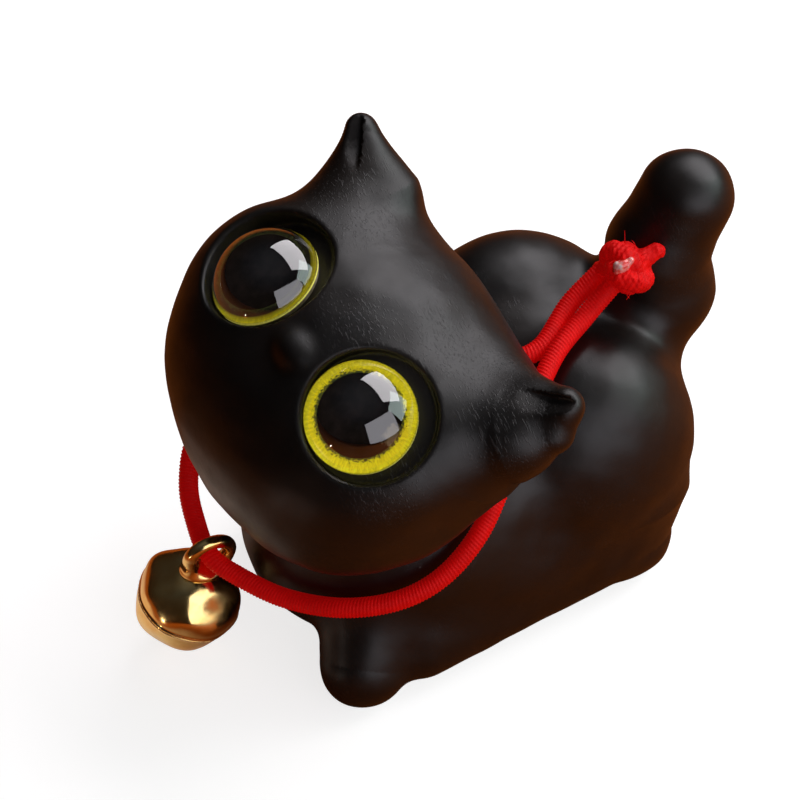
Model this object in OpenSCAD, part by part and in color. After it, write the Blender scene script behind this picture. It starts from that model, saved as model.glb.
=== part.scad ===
// Carved standing cat with glass eyes, a red cord collar and a jingle bell.
// X points to the cat's front, Y to its left side, Z up. The paws stand on Z = 0.

/* [Head] */
// Width of the head across the cheeks
head_w = 28.6; // [28:0.2:29.2]
// Height of the head from chin to crown
head_h = 25; // [24.6:0.2:25.6]
// Depth of the face in front of the ears
face_depth = 10.8; // [10.4:0.1:11.2]
// Depth of the head behind the ears
nape_depth = 7.6; // [7.2:0.1:8]
// How far the head turns to the cat's left, in degrees
head_turn = 30.5; // [28:0.5:33]
// How far the face tips up, in degrees
head_lift = 63; // [60:0.5:66]
// How far the left ear drops, in degrees
head_tilt = 30.5; // [28:0.5:33]

/* [Ears] */
// Height of the left ear's tip above the middle of the head
left_ear_h = 12.3; // [11.9:0.1:12.7]
// Height of the right ear's tip above the middle of the head
right_ear_h = 11.9; // [11.5:0.1:12.3]
// Sideways reach of an ear's tip
ear_reach = 13.7; // [13.3:0.1:14.1]

/* [Eyes] */
// Diameter of a glass eye
eye_d = 8.2; // [7.8:0.1:8.4]
// Height of the glass dome
eye_dome = 2.9; // [2.4:0.1:3.2]
// Distance from the middle of the face to the middle of an eye
eye_out = 6.7; // [6.5:0.1:6.9]
// Diameter of the hole that an eye sits in
socket_d = 9.7; // [9.4:0.1:9.9]

/* [Body] */
// Radius of the trunk at the shoulders
chest_r = 9.8; // [9.6:0.1:10]
// Radius of the trunk at the loin
loin_r = 10.2; // [10:0.1:10.4]
// Radius of the front paws
paw_r = 3.4; // [3.2:0.1:3.6]
// Radius of the tail's round end
tail_r = 3.65; // [3.5:0.05:3.8]

/* [Collar] */
// Diameter of the cord
cord_d = 1.5; // [1.4:0.05:1.6]
// Radius of the knot
knot_r = 1.8; // [1.6:0.1:1.9]

/* [Bell] */
// Diameter of the bell
bell_d = 8.2; // [7.9:0.1:8.3]
// Thickness of the bell's brass
bell_wall = 0.35; // [0.3:0.05:0.4]
// Thickness of the bell's loop
loop_wire = 0.9; // [0.8:0.05:1]
// Diameter of the loop's hole
loop_hole = 2.4; // [2.2:0.1:2.6]
// Diameter of the loose ball inside the bell
pea_d = 2; // [1.6:0.1:2.2]

/* [Hidden] */
// Head frame: x forward out of the face, y to the cat's left, z to the crown.
head_at = [11.4, 0, 22.6];
left_ear_root = [3, 10, 6.2];
right_ear_root = [3, -8.8, 6.8];
ear_root_r = 4.9;
left_ear_inner = [2, 6.2, 7.9];
left_ear_inner_r = 3.2;
left_ear_corner = [5.4, 14.4, 10.6];
left_ear_corner_r = 1.2;
right_ear_inner = [3.6, -9.6, 10.9];
right_ear_inner_r = 2.4;
ear_tip_r = 0.9;
ear_tip_f = 6.2;
hollow_root = [8.1, 12.2, 9.8];
hollow_tip = [8.0, 13.6, 11.6];
hollow_root_r = 1.5;
hollow_tip_r = 0.4;
crown_bar = [0.5, 8, 7.2];
crown_bar_r = 4.7;
brow_at = [5.2, 7.4, 0.2];
brow_r = [4.4, 6.6, 6.6];
cheek_at = [2, 5.2, -3.4];
left_cheek_r = [7, 7.6, 7.2];
right_cheek_r = [7, 6.8, 6.6];

// Eye seat: how far the glass's flat back lies out from the middle of the head, and how far it turns aside.
left_eye_f = 9.2;
right_eye_f = 8.9;
left_eye_splay = 12;
right_eye_splay = 21;
glue_t = 0.35;
foil_t = 0.25;
glass_rim = 0.5;
pupil_r = 2.4;
socket_shift = 0.35;

// Trunk.
chest_at = [9, 0, 10];
loin_at = [-5, 0, 11];
left_haunch_at = [-6, 5.2, 12.4];
left_haunch_r = [8.9, 7.4, 10];
right_haunch_at = [-5.8, -5.8, 13.2];
right_haunch_r = [9.4, 7.6, 10];
breast_at = [11, 0.5, 8];
breast_r = [8.5, 8.5, 7.5];
sill = [[-6, 7.8, 4.1], [10.5, 8.7, 3.7]];
sill_r = 3.7;
shoulder_at = [6.5, 4.5, 9.5];
shoulder_r = [9, 7.4, 9];
flank_at = [1.5, 0, 7.8];
flank_r = [13.5, 12, 6.2];
neck_at = [9, 0, 13];
neck_r = 7;
tail_at = [[-11, 0, 14], [-15.5, -0.1, 20.2], [-15.6, -0.1, 24], [-17.8, 0, 28.4]];
tail_rs = [4.6, 4.4, 3.8, tail_r];

// Legs: the top and the paw of each, front left, front right, hind left, hind right.
leg_tops = [[13, 6.5, 7], [11.2, -6.5, 7], [-8.6, 6.3, 7.2], [-8.6, -6.3, 7.2]];
paws = [[15.3, 9, 3], [13.4, -7.6, 3], [-8.6, 7.3, 3.2], [-8.4, -7, 3.2]];
leg_rs = [4.2, 4.2, 5.5, 5.3];
paw_rs = [paw_r, paw_r, 3.8, 3.8];

// The cord, from the knot round the neck's left side, past the bell and back to the knot.
cord_route = [
    [-10.2, 2.5, 25.3], [-7.2, 3.2, 23.7], [-3.6, 4.8, 22.8], [0.2, 7.6, 21.2], [3.6, 10, 18.6],
    [6.9, 11.8, 15.6], [10.3, 12.2, 13.1], [13.7, 11.4, 11.6], [17.1, 9, 10.4], [19.8, 5, 9.1],
    [21.9, 1.2, 9.2], [22.9, -1, 9.8], [22.5, -3.9, 10.3], [21.5, -7, 11.3], [19.4, -9.6, 12.9],
    [16, -10.9, 14.3], [12, -11.3, 15.6], [7.8, -11, 17.3], [4.4, -9.2, 19.4], [2.4, -6.2, 21.6],
    [1, -2.2, 22.6], [-1, 2.2, 22.4], [-3.5, 3.1, 22.7], [-6.9, 1.4, 23.6], [-10, 0.8, 25]
];
cord_steps = 3;
cord_sides = 8;
groove_r = cord_d / 2 + 0.25;
knot_at = [-11, 2.7, 26.5];
bead_at = [-10, 3.6, 27.9];
bead_r = 0.6;

// The bell hangs square to the cord at its loop and leans away from the chest.
loop_at = [22.9, -1, 9.8];
bell_lean = [-12, -16, 0];
bell_drop = 5.6;
bell_r = bell_d / 2;
bell_half_h = bell_r - 0.1;
seam_lip = 0.2;
seam_lip_t = 0.3;
slot_w = 0.8;
slot_hole_r = 0.65;
slot_reach = 2.7;
pea_drop = bell_half_h - bell_wall - pea_d / 2 - 0.05;
loop_r = (loop_hole + loop_wire) / 2;

// Moves the origin to the floor, under the middle of the whole figure.
centring = [-3.6, -1.2, 0];

// Grid that the trunk's skin is sampled on.
cell = 1.2;
block = 4;
grid_from = [-22.9, -16.6, -1.5 * cell];
cells = [40, 28, 32];
far = block * cell;

// ---- Distance functions: negative inside ----

function smooth_min(a, b, k) = let (h = max(k - abs(a - b), 0) / k) min(a, b) - h * h * k / 4;
function smooth_max(a, b, k) = -smooth_min(-a, -b, k);
function flip(p, side) = [p.x, side * p.y, p.z];

// A rod from a to b whose radius goes from ra to rb.
function rod(p, a, b, ra, rb) =
    let (ba = b - a, t = min(1, max(0, (p - a) * ba / (ba * ba))))
    norm(p - a - t * ba) - ra - (rb - ra) * t;

// An ellipsoid of radii r, for a point q measured from its middle.
function egg(q, r) =
    let (
        k0 = norm([q.x / r.x, q.y / r.y, q.z / r.z]),
        k1 = norm([q.x / (r.x * r.x), q.y / (r.y * r.y), q.z / (r.z * r.z)])
    )
    k0 * (k0 - 1) / max(k1, 0.000001);

// A point in the head's frame.
function in_head(p) =
    let (
        q = p - head_at,
        a = [q.x * cos(head_turn) + q.y * sin(head_turn), -q.x * sin(head_turn) + q.y * cos(head_turn), q.z],
        b = [a.x * cos(head_lift) + a.z * sin(head_lift), a.y, -a.x * sin(head_lift) + a.z * cos(head_lift)]
    )
    [b.x, b.y * cos(head_tilt) - b.z * sin(head_tilt), b.y * sin(head_tilt) + b.z * cos(head_tilt)];

function head_skin(q) =
    let (
        skull = egg(q, [q.x > 0 ? face_depth : nape_depth, head_w / 2, head_h / 2]),
        crown = smooth_min(skull, rod(q, flip(crown_bar, -1), crown_bar, crown_bar_r, crown_bar_r), 2),
        brow_l = smooth_min(crown, egg(q - brow_at, brow_r), 2.5),
        cheek_l = smooth_min(brow_l, egg(q - cheek_at, left_cheek_r), 2.5),
        brows = smooth_min(cheek_l, egg(q - flip(brow_at, -1), brow_r), 2.5)
    )
    smooth_min(brows, egg(q - flip(cheek_at, -1), right_cheek_r), 2.5);

function tail_skin(p) =
    let (
        low = rod(p, tail_at[0], tail_at[1], tail_rs[0], tail_rs[1]),
        mid = rod(p, tail_at[1], tail_at[2], tail_rs[1], tail_rs[2]),
        end = rod(p, tail_at[2], tail_at[3], tail_rs[2], tail_rs[3])
    )
    smooth_min(smooth_min(low, mid, 1), end, 1);

function body_skin(p) =
    let (
        trunk = rod(p, chest_at, loin_at, chest_r, loin_r),
        haunch_l = smooth_min(trunk, egg(p - left_haunch_at, left_haunch_r), 2.5),
        haunches = smooth_min(haunch_l, egg(p - right_haunch_at, right_haunch_r), 2.5),
        breast = smooth_min(haunches, egg(p - breast_at, breast_r), 2.5),
        shoulder_l = smooth_min(breast, egg(p - shoulder_at, shoulder_r), 3),
        shoulders = smooth_min(shoulder_l, egg(p - flip(shoulder_at, -1), shoulder_r), 3),
        sill_l = smooth_min(shoulders, rod(p, sill[0], sill[1], sill_r, sill_r), 2.5),
        sills = smooth_min(sill_l, rod(p, flip(sill[0], -1), flip(sill[1], -1), sill_r, sill_r), 2.5)
    )
    smooth_min(sills, egg(p - flank_at, flank_r), 2);

function skin(p) =
    let (
        neck = smooth_min(body_skin(p), rod(p, neck_at, head_at, neck_r, neck_r), 2),
        tail = smooth_min(neck, tail_skin(p), 2.5),
        all = smooth_min(tail, head_skin(in_head(p)), 1.6)
    )
    smooth_max(all, -p.z, 0.2);

// ---- Skin of a distance function: one point in each cell that the surface crosses ----

function crossing(a, b, va, vb) = (va < 0) == (vb < 0) ? [] : [a + (b - a) * va / (va - vb)];
function mean(points) = [for (axis = [0:2]) [for (q = points) q[axis]] * [for (q = points) 1]] / len(points);
CORNERS = [[0, 0, 0], [1, 0, 0], [0, 1, 0], [1, 1, 0], [0, 0, 1], [1, 0, 1], [0, 1, 1], [1, 1, 1]];
EDGES = [[0, 1], [2, 3], [4, 5], [6, 7], [0, 2], [1, 3], [4, 6], [5, 7], [0, 4], [1, 5], [2, 6], [3, 7]];

module trunk() {
    blocks = [for (k = [0:block:cells.z]) [for (j = [0:block:cells.y]) [for (i = [0:block:cells.x])
        skin(grid_from + cell * [i + block / 2, j + block / 2, k + block / 2])]]];
    values = [for (k = [0:cells.z]) [for (j = [0:cells.y]) [for (i = [0:cells.x])
        let (rough = blocks[floor(k / block)][floor(j / block)][floor(i / block)])
        abs(rough) > far ? rough : skin(grid_from + cell * [i, j, k])]]];
    found = [for (k = [0:cells.z - 1]) for (j = [0:cells.y - 1]) for (i = [0:cells.x - 1])
        let (
            v = [for (c = CORNERS) values[k + c.z][j + c.y][i + c.x]],
            inside = min(v) < 0,
            outside = max(v) >= 0
        )
        inside && outside
            ? mean([for (e = EDGES) each crossing(
                grid_from + cell * ([i, j, k] + CORNERS[e[0]]),
                grid_from + cell * ([i, j, k] + CORNERS[e[1]]), v[e[0]], v[e[1]])])
            : undef];
    numbers = [for (i = 0, n = 0; i < len(found); n = n + (is_undef(found[i]) ? 0 : 1), i = i + 1) n];
    skin_points = [for (q = found) if (!is_undef(q)) q];
    function at(i, j, k) = numbers[i + cells.x * (j + cells.y * k)];
    function two(a, b, c, d, out) = out ? [[c, b, a], [d, c, a]] : [[a, b, c], [a, c, d]];
    skin_faces = [for (k = [1:cells.z - 1]) for (j = [1:cells.y - 1]) for (i = [1:cells.x - 1])
        let (here = values[k][j][i] < 0)
        each concat(
            here == (values[k][j][i + 1] < 0) ? []
                : two(at(i, j - 1, k - 1), at(i, j, k - 1), at(i, j, k), at(i, j - 1, k), here),
            here == (values[k][j + 1][i] < 0) ? []
                : two(at(i - 1, j, k - 1), at(i - 1, j, k), at(i, j, k), at(i, j, k - 1), here),
            here == (values[k + 1][j][i] < 0) ? []
                : two(at(i - 1, j - 1, k), at(i, j - 1, k), at(i, j, k), at(i - 1, j, k), here))];
    polyhedron(skin_points, skin_faces, convexity = 6);
}

// ---- A round tube swept along a smooth curve through a route's points ----

function on_curve(route, i, t) =
    let (
        last = len(route) - 1,
        b = route[i],
        c = route[i + 1],
        a = i > 0 ? route[i - 1] : 2 * b - c,
        d = i + 2 <= last ? route[i + 2] : 2 * c - b
    )
    (2 * b + (c - a) * t + (2 * a - 5 * b + 4 * c - d) * t * t + (3 * b - a - 3 * c + d) * t * t * t) / 2;
function curve(route, steps) =
    [for (i = [0:len(route) - 2]) for (s = [0:steps - 1]) on_curve(route, i, s / steps), route[len(route) - 1]];
function unit(v) = v / norm(v);
function turned(side, along) = unit(side - (side * along) * along);

module tube(route, r, steps) {
    line = curve(route, steps);
    last = len(line) - 1;
    along = [for (i = [0:last]) unit(line[min(i + 1, last)] - line[max(i - 1, 0)])];
    sides = [for (i = 0, s = turned([0, 0, 1], along[0]); i <= last;
        i = i + 1, s = turned(s, along[min(i, last)])) s];
    rings = [for (i = [0:last]) for (n = [0:cord_sides - 1])
        let (turn = 360 * n / cord_sides)
        line[i] + r * (cos(turn) * sides[i] + sin(turn) * cross(along[i], sides[i]))];
    walls = [for (i = [0:last - 1]) for (n = [0:cord_sides - 1])
        let (m = (n + 1) % cord_sides, a = i * cord_sides, b = a + cord_sides)
        each [[a + n, b + n, b + m], [a + n, b + m, a + m]]];
    start = [for (n = [0:cord_sides - 1]) n];
    finish = [for (n = [cord_sides - 1:-1:0]) last * cord_sides + n];
    polyhedron(rings, concat(walls, [start, finish]), convexity = 8);
}

// ---- Carving ----

module on_head() {
    translate(head_at) rotate([-head_tilt, -head_lift, head_turn]) children();
}

// Frame of an eye: its axis is +Z and its middle is the origin.
module on_eye(side) {
    out = side > 0 ? left_eye_f : right_eye_f;
    splay = side > 0 ? left_eye_splay : right_eye_splay;
    on_head() translate([out, side * eye_out, 0]) rotate([0, 90, side * splay]) children();
}

module left_ear() {
    hull() {
        translate(left_ear_root) sphere(r = ear_root_r, $fn = 28);
        translate(left_ear_inner) sphere(r = left_ear_inner_r, $fn = 24);
        translate(left_ear_corner) sphere(r = left_ear_corner_r, $fn = 20);
        translate([ear_tip_f, ear_reach, left_ear_h]) sphere(r = ear_tip_r, $fn = 16);
    }
}

module right_ear() {
    hull() {
        translate(right_ear_root) sphere(r = ear_root_r, $fn = 28);
        translate(right_ear_inner) sphere(r = right_ear_inner_r, $fn = 24);
        translate([ear_tip_f, -ear_reach, right_ear_h]) sphere(r = ear_tip_r, $fn = 16);
    }
}

module ear_hollow(side, drop) {
    hull() {
        translate(flip(hollow_root, side)) sphere(r = hollow_root_r, $fn = 24);
        translate(flip(hollow_tip, side) - [0, 0, drop]) sphere(r = hollow_tip_r, $fn = 12);
    }
}

module leg(n) {
    hull() {
        translate(leg_tops[n]) sphere(r = leg_rs[n], $fn = 24);
        translate(paws[n]) sphere(r = paw_rs[n], $fn = 28);
    }
}

module socket(side) {
    on_eye(side) translate([-socket_shift, 0, -glue_t - foil_t]) cylinder(d = socket_d, h = 8, $fn = 48);
}

module carving() {
    color([0.06, 0.05, 0.05]) difference() {
        union() {
            trunk();
            on_head() {
                left_ear();
                right_ear();
            }
            for (n = [0:3]) leg(n);
        }
        on_head() {
            ear_hollow(1, 0);
            ear_hollow(-1, left_ear_h - right_ear_h);
        }
        for (side = [1, -1]) socket(side);
        tube(cord_route, groove_r, 2);
        translate([-40, -40, -20]) cube([80, 80, 20]);
    }
}

// ---- Eyes ----

module glass(side) {
    ball_r = (eye_dome * eye_dome + eye_d * eye_d / 4) / (2 * eye_dome);
    color([0.75, 0.8, 0.8, 0.4]) on_eye(side) {
        cylinder(d = eye_d, h = glass_rim, $fn = 64);
        translate([0, 0, glass_rim]) intersection() {
            translate([0, 0, eye_dome - ball_r]) sphere(r = ball_r, $fn = 64);
            cylinder(d = eye_d + 1, h = eye_dome + 1, $fn = 64);
        }
    }
}

module iris(side) {
    color([0.85, 0.8, 0.1]) on_eye(side) translate([0, 0, -foil_t]) difference() {
        cylinder(d = eye_d, h = foil_t, $fn = 64);
        translate([0, 0, -1]) cylinder(r = pupil_r, h = 2, $fn = 64);
    }
}

module pupil(side) {
    color([0.02, 0.02, 0.02]) on_eye(side) translate([0, 0, -foil_t]) cylinder(r = pupil_r, h = foil_t, $fn = 64);
}

module glue(side) {
    color([0.7, 0.68, 0.6]) on_eye(side) translate([0, 0, -foil_t - glue_t])
        cylinder(d = eye_d - 0.4, h = glue_t, $fn = 64);
}

// ---- Collar ----

module collar_cord() {
    color([0.75, 0.06, 0.06]) tube(cord_route, cord_d / 2, cord_steps);
}

module collar_knot() {
    color([0.75, 0.08, 0.07]) translate(knot_at) {
        sphere(r = knot_r, $fn = 32);
        translate([-0.3, 0.7, 0.6]) sphere(r = knot_r - 0.3, $fn = 32);
        translate([0.6, -0.3, -0.6]) sphere(r = knot_r - 0.2, $fn = 32);
    }
}

module knot_bead() {
    color([0.95, 0.75, 0.7]) translate(bead_at) sphere(r = bead_r, $fn = 24);
}

// ---- Bell: its frame hangs from the loop, with the shells' middle bell_drop below ----

module on_bell() {
    translate(loop_at) rotate(bell_lean) translate([0, 0, -bell_drop]) children();
}

// Half of the bell's side view, from the axis out, for a shell moved in by inset.
module bell_side(inset) {
    intersection() {
        translate([0, bell_half_h - bell_r]) circle(r = bell_r - inset, $fn = 64);
        translate([0, bell_r - bell_half_h]) circle(r = bell_r - inset, $fn = 64);
        translate([0, -bell_r]) square([bell_r, 2 * bell_r]);
    }
}

module bell_shell(up) {
    rotate_extrude($fn = 64) intersection() {
        difference() {
            union() {
                bell_side(0);
                translate([bell_r - bell_wall, -seam_lip_t]) square([bell_wall + seam_lip, 2 * seam_lip_t]);
            }
            bell_side(bell_wall);
        }
        translate([0, up ? 0 : -bell_r - 1]) square([bell_r + 1, bell_r + 1]);
    }
}

module bell_top() {
    color([0.85, 0.62, 0.2]) on_bell() bell_shell(true);
}

module bell_bottom() {
    color([0.85, 0.62, 0.2]) on_bell() difference() {
        bell_shell(false);
        for (turn = [0, 90]) rotate([0, 0, turn]) {
            translate([-slot_reach, -slot_w / 2, -bell_r - 1]) cube([2 * slot_reach, slot_w, bell_r]);
            for (end = [-1, 1]) translate([end * slot_reach, 0, -bell_r - 1]) cylinder(r = slot_hole_r, h = bell_r, $fn = 32);
        }
    }
}

module bell_loop() {
    color([0.85, 0.62, 0.2]) on_bell() difference() {
        translate([0, 0, bell_drop]) rotate([90, 0, 0]) rotate_extrude($fn = 48)
            translate([loop_r, 0]) circle(d = loop_wire, $fn = 24);
        translate([0, 0, bell_half_h - bell_r]) sphere(r = bell_r, $fn = 64);
    }
}

module bell_pea() {
    color([0.6, 0.6, 0.6]) on_bell() rotate([-bell_lean.x, 0, 0]) rotate([0, -bell_lean.y, 0])
        translate([0, 0, -pea_drop]) sphere(d = pea_d, $fn = 32);
}

// Puts a sub-part in the figure's own frame.
module placed() {
    translate(centring) children();
}

placed() carving();
placed() glass(1);  // eye_left_glass
placed() iris(1);  // eye_left_iris
placed() pupil(1);  // eye_left_pupil
placed() glue(1);  // eye_left_glue
placed() glass(-1);  // eye_right_glass
placed() iris(-1);  // eye_right_iris
placed() pupil(-1);  // eye_right_pupil
placed() glue(-1);  // eye_right_glue
placed() collar_cord();
placed() collar_knot();
placed() knot_bead();
placed() bell_top();
placed() bell_bottom();
placed() bell_loop();
placed() bell_pea();
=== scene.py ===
"""The looks of a carved wooden cat with glass eyes, a red cord collar and a jingle bell.

Shapes are worked out in millimetres in the carver's frame (X to the cat's front, Y to its left, Z up),
as distance fields that are negative inside, and are moved into the frame's metres when a piece is made.
"""
import bpy
import numpy as np
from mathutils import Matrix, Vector


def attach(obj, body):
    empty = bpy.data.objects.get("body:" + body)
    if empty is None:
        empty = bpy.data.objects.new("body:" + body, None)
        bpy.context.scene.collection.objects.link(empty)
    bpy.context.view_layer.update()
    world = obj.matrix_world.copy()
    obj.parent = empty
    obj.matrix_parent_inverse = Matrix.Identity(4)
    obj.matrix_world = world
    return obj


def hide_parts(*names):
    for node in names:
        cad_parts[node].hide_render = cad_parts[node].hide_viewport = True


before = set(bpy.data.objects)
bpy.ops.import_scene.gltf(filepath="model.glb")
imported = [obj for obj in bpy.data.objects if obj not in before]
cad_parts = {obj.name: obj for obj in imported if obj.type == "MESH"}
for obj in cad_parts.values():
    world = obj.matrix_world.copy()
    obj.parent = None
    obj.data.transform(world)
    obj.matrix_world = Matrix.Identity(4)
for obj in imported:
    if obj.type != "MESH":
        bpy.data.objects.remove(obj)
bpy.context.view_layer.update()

MM = 0.001
# The carver's origin as the frame sees it, which puts the middle of the carving's footprint at the frame's.
CENTRING = np.array([-3.6, -1.2, 0.0])


# ---- Camera, light and floor ----

VIEW_TURN = np.radians(30)
VIEW_RISE = np.radians(47)
VIEW_HEART = np.array([-3.6, -1.2, 10.0])
VIEW_FAR = 300.0
LENS = 175.5
LENS_SHIFT = (-0.1, 0.0625)
LIGHTS_AIM = np.array([5.0, 0.0, 18.0])
# Each window's name, turn, rise, distance, size, brightness and colour.
WINDOWS = [
    ("window", 194, 47, 330, (360, 230), 4.2, (1.0, 0.965, 1.0)),
    ("window_low", 156, 26, 345, (230, 210), 2.2, (0.82, 1.0, 0.96)),
    ("side_card", 100, 22, 300, (330, 230), 1.9, (0.95, 0.93, 1.0))]
TOWARD_VIEW = np.array([
    np.cos(VIEW_RISE) * np.sin(VIEW_TURN), np.cos(VIEW_RISE) * np.cos(VIEW_TURN), np.sin(VIEW_RISE)])


def facing(obj, place, aim):
    """Puts a camera or a light at place, pointing at aim, both in millimetres."""
    obj.location = Vector(place) * MM
    obj.rotation_euler = (Vector(aim) - Vector(place)).to_track_quat("-Z", "Y").to_euler()
    bpy.context.scene.collection.objects.link(obj)
    return obj


def make_camera():
    lens = bpy.data.cameras.new("camera")
    lens.sensor_width = 36
    lens.lens = LENS
    lens.shift_x, lens.shift_y = LENS_SHIFT
    lens.clip_start = 0.01
    camera = bpy.data.objects.new("camera", lens)
    facing(camera, VIEW_HEART + VIEW_FAR * TOWARD_VIEW, VIEW_HEART)
    bpy.context.scene.camera = camera


def make_window(name, turn, rise, far, size, glow, colour):
    """A soft rectangular light seen from the cat at that turn and rise; glow is its brightness."""
    lamp = bpy.data.lights.new(name, "AREA")
    lamp.shape = "RECTANGLE"
    lamp.size = size[0] * MM
    lamp.size_y = size[1] * MM
    lamp.energy = glow * np.pi * lamp.size * lamp.size_y
    lamp.color = colour
    turn = np.radians(turn)
    rise = np.radians(rise)
    toward = np.array([np.cos(rise) * np.cos(turn), np.cos(rise) * np.sin(turn), np.sin(rise)])
    obj = facing(bpy.data.objects.new(name, lamp), LIGHTS_AIM + far * toward, LIGHTS_AIM)
    obj.visible_camera = False


def make_sparkle():
    """A small lamp low in front, which shows as one bright dot in each glass eye."""
    lamp = bpy.data.lights.new("sparkle", "POINT")
    lamp.energy = 0.005
    lamp.shadow_soft_size = 1.4 * MM
    lamp.color = (1.0, 0.93, 0.85)
    obj = facing(bpy.data.objects.new("sparkle", lamp), (82, 14, 4), (0, 0, 20))
    obj.visible_camera = False


def make_world():
    """White to the camera; to the cat a dim room, darker and warmer towards the floor."""
    world = bpy.data.worlds.new("studio")
    bpy.context.scene.world = world
    world.use_nodes = True
    tree = world.node_tree
    tree.nodes.clear()
    seen = add(tree, "ShaderNodeBackground", {"Color": (1, 1, 1, 1), "Strength": 1.0})
    coords = add(tree, "ShaderNodeTexCoord")
    height = add(tree, "ShaderNodeSeparateXYZ", {"Vector": coords.outputs["Generated"]})
    sky = ramp(tree, height.outputs["Z"], [
        (0.0, (0.02, 0.010, 0.006)), (0.5, (0.026, 0.020, 0.017)), (0.75, (0.035, 0.035, 0.04)),
        (1.0, (0.09, 0.09, 0.10))])
    room = add(tree, "ShaderNodeBackground", {"Color": sky, "Strength": 1.0})
    path = add(tree, "ShaderNodeLightPath")
    either = add(tree, "ShaderNodeMixShader", {
        "Fac": path.outputs["Is Camera Ray"], 1: room.outputs[0], 2: seen.outputs[0]})
    add(tree, "ShaderNodeOutputWorld", {"Surface": either.outputs[0]})


def make_floor():
    bpy.ops.mesh.primitive_circle_add(vertices=96, radius=3.0, fill_type="NGON")
    floor = bpy.context.object
    floor.name = "floor"
    floor.data.materials.append(floor_material())


# ---- Shader helpers ----

def add(tree, kind, inputs=None, **settings):
    """A new node; an input is linked if it is a socket, or else set as a constant."""
    node = tree.nodes.new(kind)
    for key, value in settings.items():
        setattr(node, key, value)
    for key, value in (inputs or {}).items():
        if isinstance(value, bpy.types.NodeSocket):
            tree.links.new(value, node.inputs[key])
        else:
            node.inputs[key].default_value = value
    return node


def ramp(tree, source, stops):
    """Colours or grey levels placed along 0 to 1."""
    node = add(tree, "ShaderNodeValToRGB", {"Fac": source})
    while len(node.color_ramp.elements) < len(stops):
        node.color_ramp.elements.new(0.5)
    for element, (place, colour) in zip(node.color_ramp.elements, stops):
        element.position = place
        element.color = (*colour, 1) if isinstance(colour, tuple) else (colour, colour, colour, 1)
    return node.outputs["Color"]


def mix(tree, share, a, b, how="MIX"):
    """Colour a, turning into b as share goes from 0 to 1."""
    return add(tree, "ShaderNodeMixRGB", {"Fac": share, "Color1": a, "Color2": b}, blend_type=how).outputs[0]


def maths(tree, how, a, b=0.0):
    return add(tree, "ShaderNodeMath", {0: a, 1: b}, operation=how).outputs[0]


def noise(tree, coords, scale, detail=3.0, rough=0.5):
    return add(tree, "ShaderNodeTexNoise", {
        "Vector": coords, "Scale": scale, "Detail": detail, "Roughness": rough}).outputs["Fac"]


def dot(tree, coords, axis):
    node = add(tree, "ShaderNodeVectorMath", {0: coords, 1: tuple(axis)}, operation="DOT_PRODUCT")
    return node.outputs["Value"]


def distance(tree, coords, place):
    return add(tree, "ShaderNodeVectorMath", {0: coords, 1: place}, operation="DISTANCE").outputs["Value"]


def stretched(tree, coords, scale, turn=(0, 0, 0)):
    return add(tree, "ShaderNodeMapping", {
        "Vector": coords, "Scale": scale, "Rotation": tuple(np.radians(turn))}).outputs[0]


def bump(tree, height, far, strength, under=None):
    """Fine relief, far millimetres high, on top of the relief under it."""
    inputs = {"Height": height, "Distance": far * MM, "Strength": strength}
    if under is not None:
        inputs["Normal"] = under
    return add(tree, "ShaderNodeBump", inputs).outputs[0]


def new_material(name, **values):
    """A Principled material with constants set on its own sockets, and its object and UV coordinates."""
    material = bpy.data.materials.new(name)
    material.use_nodes = True
    tree = material.node_tree
    shader = tree.nodes["Principled BSDF"]
    for key, value in values.items():
        shader.inputs[key.replace("_", " ")].default_value = value
    coords = add(tree, "ShaderNodeTexCoord")
    return material, tree, shader, coords.outputs["Object"], coords.outputs["UV"]


# ---- Materials ----

def floor_material():
    """A floor that glows evenly pale to the camera; the cat's belly sees warm table wood instead, and the
    bell sees a pale glowing patch under it, painted light for its lower half to reflect.
    """
    material, tree, shader, coords, _ = new_material("pale_floor", Roughness=0.9, Specular_IOR_Level=0.05)
    pale = ramp(tree, noise(tree, coords, 6.0), [(0.3, (0.47, 0.465, 0.46)), (0.7, (0.49, 0.485, 0.48))])
    seen = add(tree, "ShaderNodeLightPath").outputs["Is Camera Ray"]
    colour = mix(tree, seen, (0.42, 0.105, 0.014, 1), pale)
    tree.links.new(colour, shader.inputs["Base Color"])
    # A patch under the bell glows pale for rays other than the camera's: painted light, reflected in the
    # bell's lower half.
    bell_reflection_glow = mix(tree, near(tree, coords, (36, -8, 0), 19.0), (0, 0, 0, 1), (0.55, 0.49, 0.42, 1))
    tree.links.new(mix(tree, seen, bell_reflection_glow, (0.78, 0.775, 0.77, 1)), shader.inputs["Emission Color"])
    shader.inputs["Emission Strength"].default_value = 1.0
    return material


def near(tree, coords, place, reach):
    """1 at a place given in the carver's millimetres, falling to 0 at reach."""
    place = tuple((np.array(place) + CENTRING) * MM)
    node = add(tree, "ShaderNodeMapRange", {
        "Value": distance(tree, coords, place), "From Min": 0.35 * reach * MM, "From Max": reach * MM,
        "To Min": 1.0, "To Max": 0.0})
    node.interpolation_type = "SMOOTHSTEP"
    return node.outputs[0]


def along_and_across(tree, coords, way, squeeze):
    """Coordinates whose X runs that way and is squeezed, so that a noise in them makes streaks."""
    way = unit(way)
    first = unit(np.cross(way, (0.3, 0.2, 0.9)))
    return add(tree, "ShaderNodeCombineXYZ", {
        "X": dot(tree, coords, way * squeeze), "Y": dot(tree, coords, first),
        "Z": dot(tree, coords, np.cross(way, first))}).outputs[0]


# Where knife marks show, in the head frame, and how far each patch of them reaches.
MARKED_PLACES = [
    ((8.0, -8.5, 8.5), 6.0), ((6.8, 10.0, 9.5), 5.0), ((6.4, 12.5, 8.5), 5.5), ((8.0, 5.0, 8.5), 5.0),
    ((7.5, 11.0, -1.0), 4.5), ((9.5, 1.0, 4.0), 3.5)]


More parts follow.
